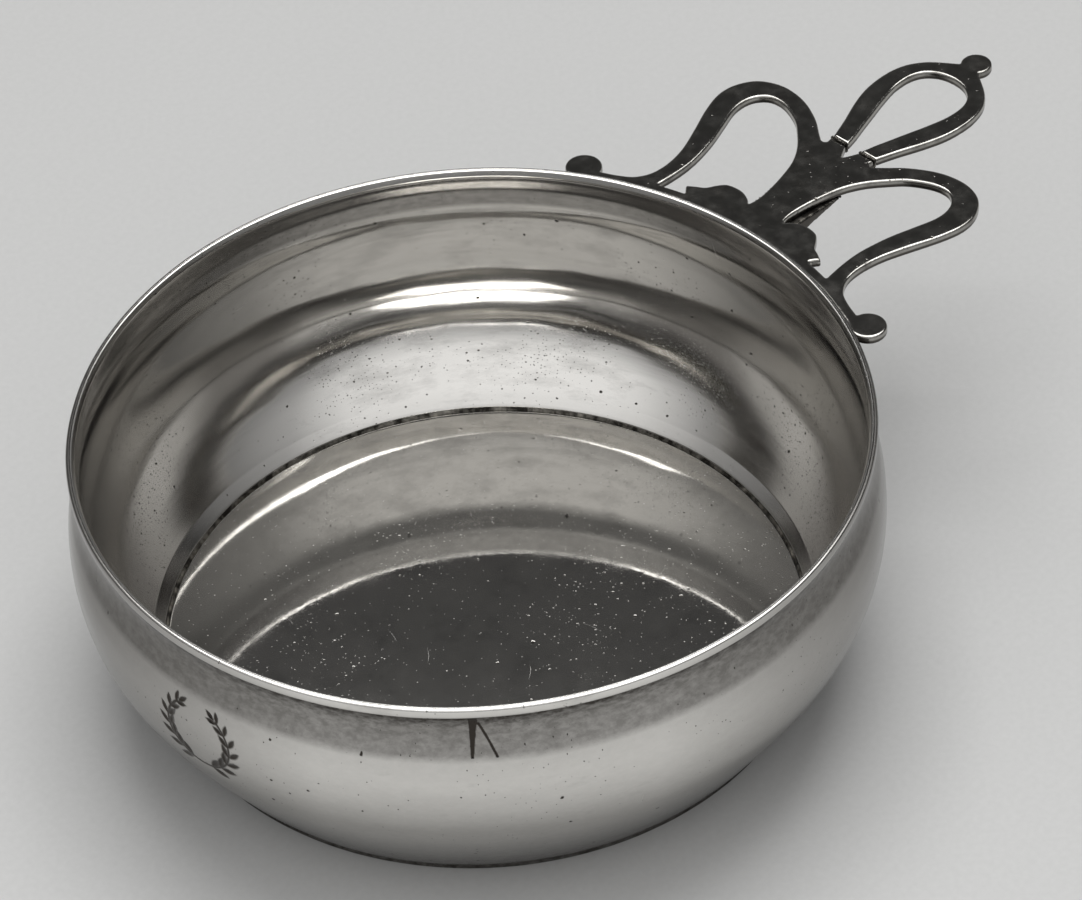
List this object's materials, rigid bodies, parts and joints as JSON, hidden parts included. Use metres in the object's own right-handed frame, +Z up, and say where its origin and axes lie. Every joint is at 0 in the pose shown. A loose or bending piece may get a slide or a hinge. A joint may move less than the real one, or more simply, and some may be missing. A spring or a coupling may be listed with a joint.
{
  "type": "silver porringer",
  "caption": "Shallow round silver bowl with a bellied wall, domed floor, low foot ring and one flat openwork handle level with the rim.",
  "frame": {"origin": "on the plane that the foot ring stands on, in the middle of the overall length and width; the bowl's axis is 30.6 mm from it, away from the handle", "axes": "+X along the handle, out from the bowl; +Z up, parallel to the bowl's axis"},
  "size_m": [0.1956, 0.1344, 0.0475],
  "materials": {
    "polished_silver": "polished, finely scratched by use",
    "cast_silver": "filed and polished casting, a little duller than the bowl",
    "solder": "dull, pitted and darkened"
  },
  "bodies": {
    "root": {"bowl_wall": "polished_silver", "rim_wire": "polished_silver", "floor_disc": "polished_silver", "floor_solder": "solder", "foot_ring": "polished_silver", "foot_solder": "solder", "handle_plate": "cast_silver", "handle_solder_left": "solder", "handle_solder_right": "solder", "stem_brace": "cast_silver", "brace_solder": "solder", "mend_solder_left": "solder", "mend_solder_right": "solder", "centre_loop": "cast_silver"}
  },
  "joints": []
}
